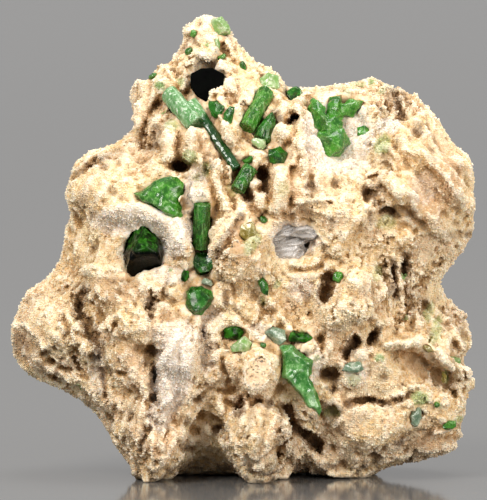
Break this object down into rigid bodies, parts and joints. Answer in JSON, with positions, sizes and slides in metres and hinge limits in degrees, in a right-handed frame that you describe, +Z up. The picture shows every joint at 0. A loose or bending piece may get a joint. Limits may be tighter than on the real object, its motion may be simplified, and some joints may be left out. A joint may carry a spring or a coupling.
{
  "type": "tourmaline crystals in matrix",
  "caption": "Hand-sized mineral specimen: green tourmaline prisms and shards with quartz blades, set in a rough cream albite rock that stands on feet of its own.",
  "frame": {"origin": "middle of the specimen's footprint, on the surface it rests on", "axes": "+Z up, +X to the right and -Y towards the viewer, who faces the side with the crystals"},
  "size_m": [0.0697, 0.0386, 0.0695],
  "materials": {
    "albite": "rough, sugary, cream to tan with iron stains",
    "green_tourmaline": "glassy, clear bright green with milky veils",
    "dark_tourmaline": "glassy, deep bottle green to nearly black",
    "pale_tourmaline": "glassy, milky pale green",
    "blue_green_tourmaline": "glassy, milky blue-green",
    "quartz": "glassy, clear to milky with streaks"
  },
  "bodies": {
    "root": {"matrix": "albite", "top_socket_crystal": "dark_tourmaline", "upper_prism": "green_tourmaline", "rim_dark_crystal": "dark_tourmaline", "stub_prism": "green_tourmaline", "vertical_prism": "green_tourmaline", "cave_crystal": "dark_tourmaline", "round_crystal": "green_tourmaline", "broken_shard": "green_tourmaline", "green_shard": "green_tourmaline", "tapered_crystal": "dark_tourmaline", "lower_shard": "green_tourmaline", "long_prism": "green_tourmaline", "bowl_cluster": "green_tourmaline", "quartz_blades": "quartz", "rim_pale_crystal": "pale_tourmaline", "olive_crystal": "green_tourmaline", "wedge_crystal": "dark_tourmaline", "pale_vug_crystal": "pale_tourmaline", "block_crystal": "dark_tourmaline", "shadow_crystal": "dark_tourmaline", "olive_chip": "dark_tourmaline", "olive_patch": "pale_tourmaline", "sliver_crystal": "dark_tourmaline", "teal_chip": "blue_green_tourmaline", "grey_green_crystal": "dark_tourmaline", "face_chip": "green_tourmaline", "pit_crystal": "dark_tourmaline", "pale_slab": "pale_tourmaline", "teal_shadow_crystal": "dark_tourmaline", "pin_chip": "dark_tourmaline", "teal_lump": "blue_green_tourmaline", "teal_pocket_crystal": "blue_green_tourmaline", "bowl_chip": "green_tourmaline", "ridge_chip": "green_tourmaline", "hollow_chip": "green_tourmaline", "right_edge_crystal": "pale_tourmaline", "lower_right_crystal": "blue_green_tourmaline", "lower_right_chip": "green_tourmaline", "lower_right_speck": "green_tourmaline", "knob_crystal": "pale_tourmaline", "knob_chip": "green_tourmaline", "knob_lower_chip": "green_tourmaline", "knob_strip": "pale_tourmaline", "socket_rim_chip": "green_tourmaline", "left_edge_chip": "green_tourmaline", "slope_chip": "dark_tourmaline"}
  },
  "joints": []
}
